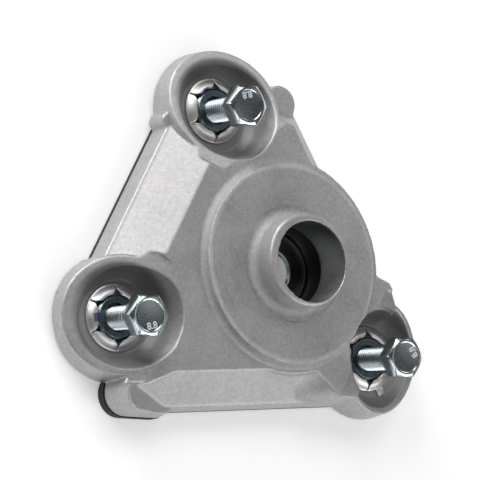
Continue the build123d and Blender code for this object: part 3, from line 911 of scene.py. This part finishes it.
class STRUT_OT_clips(bpy.types.Operator):
    """Press the three star clips: six petals that rise from an unbroken rim"""

    bl_idname = "strut.clips"
    bl_label = "Star clips"

    def execute(self, context):
        settings = context.scene.strut_clips
        material = spring_steel(context.scene.strut_trim)
        for number in BOLTS:
            end = bolt_end(number)
            place = Matrix.Translation((end.x, end.y, settings.seat))
            parts = [(0, self.petals(settings, number)), (0, self.rim(settings))]
            if number == 3:
                parts.append((0, self.tab(settings)))
            clip = joined(parts, f"pressed clip {number}")
            clip.transform(place)
            new_piece(f"pressed_clip_{number}", clip, [material], "housing", [f"star_clip_{number}"])
        return {"FINISHED"}

    def petals(self, settings, number):
        """Six petals, narrowing toward their tips, with sheet thickness and soft edges."""
        sheet = bmesh.new()
        half = math.radians(30)  # half of a petal's share of the circle
        for index in range(6):
            bm = bmesh.new()
            lift = 3 * settings.unevenness * math.sin(2.4 * index + 1.7 * number)
            section = [(r, z + lift * (1 - r / settings.radius)) for r, z in settings.rise_rows()]
            verts, edges = drawn(bm, section)
            bmesh.ops.rotate(bm, verts=verts, cent=(0, 0, 0), matrix=Matrix.Rotation(-half, 3, "Z"))
            bmesh.ops.spin(bm, geom=verts + edges, cent=(0, 0, 0), axis=(0, 0, 1), angle=2 * half, steps=12)
            for vert in bm.verts:
                out = math.hypot(vert.co.x, vert.co.y)
                share = math.atan2(vert.co.y, vert.co.x) / half
                open_half = settings.gap / 2
                if out < settings.notch_reach:
                    deep = (settings.notch_reach - out) / (settings.notch_reach - settings.tip)
                    open_half += deep * (settings.notch - settings.gap) / 2
                angle = share * (half - math.asin(open_half / out))
                vert.co.x, vert.co.y = out * math.cos(angle), out * math.sin(angle)
            spread = Matrix.Rotation(half + 2 * half * index, 3, "Z")
            bmesh.ops.rotate(bm, verts=bm.verts, cent=(0, 0, 0), matrix=spread)
            bmesh.ops.recalc_face_normals(bm, faces=bm.faces)
            if sum(face.normal.z for face in bm.faces) < 0:
                bmesh.ops.reverse_faces(bm, faces=bm.faces)
            sheet.from_mesh(to_mesh(bm, "petal"))
        return finished(to_mesh(sheet, "petals"), [
            ("SOLIDIFY", {"thickness": settings.thickness, "offset": -1.0}),
            rounded_corners(40),
        ])

    def rim(self, settings):
        """Unbroken outer rim, turned."""
        outer, inner = settings.radius, settings.radius - settings.rim
        low, high = 0.05 * MM, settings.thickness + 0.1 * MM
        return turned_mesh((
            (inner, low), (outer - 0.15 * MM, low), (outer, low + 0.15 * MM), (outer, high - 0.2 * MM),
            (outer - 0.2 * MM, high), (inner, high),
        ), 72, "rim", closed=True)

    def tab(self, settings):
        """Locating tab of the right clip."""
        start = settings.radius - 1.0 * MM
        reach = settings.tab_reach - start
        bm = bmesh.new()
        bmesh.ops.create_cube(bm, size=1.0)
        bmesh.ops.scale(bm, verts=bm.verts, vec=(reach, settings.tab_width, settings.thickness))
        middle = (start + reach / 2, 0, settings.thickness / 2 + 0.05 * MM)
        bmesh.ops.translate(bm, verts=bm.verts, vec=middle)
        bmesh.ops.bevel(
            bm, geom=bm.edges[:], offset=0.15 * MM, offset_type="OFFSET", segments=2, profile=0.5,
            affect="EDGES", material=-1,
        )
        heading = Matrix.Rotation(settings.tab_heading, 3, "Z")
        bmesh.ops.rotate(bm, verts=bm.verts, cent=(0, 0, 0), matrix=heading)
        return to_mesh(bm, "tab")


class STRUT_OT_bolts(bpy.types.Operator):
    """Make the three hexagon bolts with rolled thread and plain strength marks"""

    bl_idname = "strut.bolts"
    bl_label = "Captive bolts"

    def execute(self, context):
        settings = context.scene.strut_bolts
        materials = [
            zinc_plate("bright zinc", settings.zinc),
            # Painted shade: the dish's darker copy of the zinc stands in for its dark reflection
            zinc_plate("shaded dish zinc", settings.zinc, 0.26, 0.54, grainy=0.05),
            # Painted highlight: the raised numerals' lighter zinc, also rougher and less metallic
            zinc_plate("lit numeral zinc", settings.zinc, 0.5, dark=-0.15, metal=0.3),
            # Thread zinc, a little lighter, with painted shade down its groove
            zinc_plate("thread zinc", settings.zinc, 0.28, dark=-0.12, groove_shade=0.85),
        ]
        for number in BOLTS:
            top = settings.lift_right if number == 3 else settings.lift_left
            dish = top + settings.head_height - settings.dish_depth
            head = hexagon_head(settings, top)
            shank = threaded_shank(settings, top)
            mark = raised_mark(settings, math.radians(MARKS[number]), dish + 0.08 * MM)
            bolt = joined([(0, head), (3, shank), (2, mark)], f"threaded bolt {number}")
            self.mark_groove(bolt, settings, top)
            self.mark_dish(bolt, settings, dish)
            bolt.transform(bolt_place(number, settings))
            new_piece(
                f"threaded_bolt_{number}", bolt, materials, f"bolt_{number}",
                [f"captive_bolt_{number}"],
            )
        return {"FINISHED"}

    def mark_groove(self, bolt, settings, top):
        """Stores how deep each corner lies in the thread's groove, from 0 to 1."""
        groove = bolt.attributes.new("groove", "FLOAT", "POINT")
        for vertex, depth in zip(bolt.vertices, groove.data):
            inset = settings.thread_radius - math.hypot(vertex.co.x, vertex.co.y)
            depth.value = min(1.0, max(0.0, inset / settings.thread_depth)) if vertex.co.z < top else 0.0

    def mark_dish(self, bolt, settings, dish):
        """Gives the floor of the head's dish its own, rougher zinc, darker as painted shade in place of its dark
        reflection.
        """
        edge = settings.dish_radius - 0.1 * MM
        for polygon in bolt.polygons:
            x, y, z = polygon.center
            on_floor = dish - 1 * MM < z < dish + 0.02 * MM and math.hypot(x, y) < edge
            if on_floor and polygon.material_index == 0:
                polygon.material_index = 1


class STRUT_OT_stage(bpy.types.Operator):
    """Make the pale floor, the soft studio lights and the camera"""

    bl_idname = "strut.stage"
    bl_label = "Stage"

    def execute(self, context):
        settings = context.scene.strut_stage
        scene = context.scene
        bm = bmesh.new()
        bmesh.ops.create_grid(bm, x_segments=4, y_segments=4, size=settings.reach)
        floor = linked("floor", to_mesh(bm, "floor"))
        floor.data.materials.append(pale_floor(settings))

        world = bpy.data.worlds.new("studio")
        scene.world = world
        world.use_nodes = True
        backdrop = world.node_tree.nodes["Background"]
        backdrop.inputs["Color"].default_value = (1.0, 1.0, 1.0, 1.0)
        backdrop.inputs["Strength"].default_value = settings.sky

        for name, power, (around, up) in LIGHTS:
            self.soft_light(name, power * settings.light, math.radians(around), math.radians(up), settings)

        camera = bpy.data.cameras.new("camera")
        camera.lens = settings.lens
        camera.sensor_width = 36.0
        camera.clip_start = 0.05
        seer = linked("camera", camera)
        right, up, back, place = CAMERA
        seer.matrix_world = Matrix(((*right, 0.0), (*up, 0.0), (*back, 0.0), (*place, 1.0))).transposed()
        scene.camera = seer
        scene.view_settings.view_transform = "Standard"
        return {"FINISHED"}

    def soft_light(self, name, power, around, up, settings):
        """Square soft light that faces the part from an angle round it and an angle up."""
        toward = Vector((math.cos(up) * math.cos(around), math.cos(up) * math.sin(around), math.sin(up)))
        lamp = bpy.data.lights.new(name, "AREA")
        lamp.energy = power
        lamp.size = settings.width
        holder = linked(name, lamp)
        holder.location = toward * settings.distance
        holder.rotation_mode = "QUATERNION"
        holder.rotation_quaternion = toward.to_track_quat("Z", "Y")
        holder.visible_camera = False


# Panel and registration


class STRUT_PT_panel(bpy.types.Panel):
    """Strut mount tools"""

    bl_idname = "STRUT_PT_panel"
    bl_label = "Strut mount"
    bl_space_type = "VIEW_3D"
    bl_region_type = "UI"
    bl_category = "Strut mount"

    def draw(self, context):
        for group in GROUPS:
            box = self.layout.box()
            box.label(text=group.bl_rna.description or group.__name__)
            holder = getattr(context.scene, GROUPS[group])
            for name in group.__annotations__:
                box.prop(holder, name)
        for operator in OPERATORS:
            self.layout.operator(operator.bl_idname)


GROUPS = {
    CastBodySettings: "strut_cast",
    BoltSettings: "strut_bolts",
    ClipSettings: "strut_clips",
    TrimSettings: "strut_trim",
    StageSettings: "strut_stage",
}
OPERATORS = (
    STRUT_OT_stage,
    STRUT_OT_cast_body,
    STRUT_OT_gasket,
    STRUT_OT_bush,
    STRUT_OT_collars,
    STRUT_OT_clips,
    STRUT_OT_bolts,
)


def register():
    """Registers the settings, the operators and the panel."""
    for item in (*GROUPS, *OPERATORS, STRUT_PT_panel):
        bpy.utils.register_class(item)
    for group, name in GROUPS.items():
        setattr(bpy.types.Scene, name, PointerProperty(type=group))


def unregister():
    """Takes them away again."""
    for name in GROUPS.values():
        delattr(bpy.types.Scene, name)
    for item in (STRUT_PT_panel, *reversed(OPERATORS), *reversed(GROUPS)):
        bpy.utils.unregister_class(item)


def main():
    """Builds the whole scene."""
    register()
    bpy.ops.strut.stage()
    bpy.ops.strut.cast_body()
    bpy.ops.strut.gasket()
    bpy.ops.strut.bush()
    bpy.ops.strut.collars()
    bpy.ops.strut.clips()
    bpy.ops.strut.bolts()


if __name__ == "__main__":
    main()
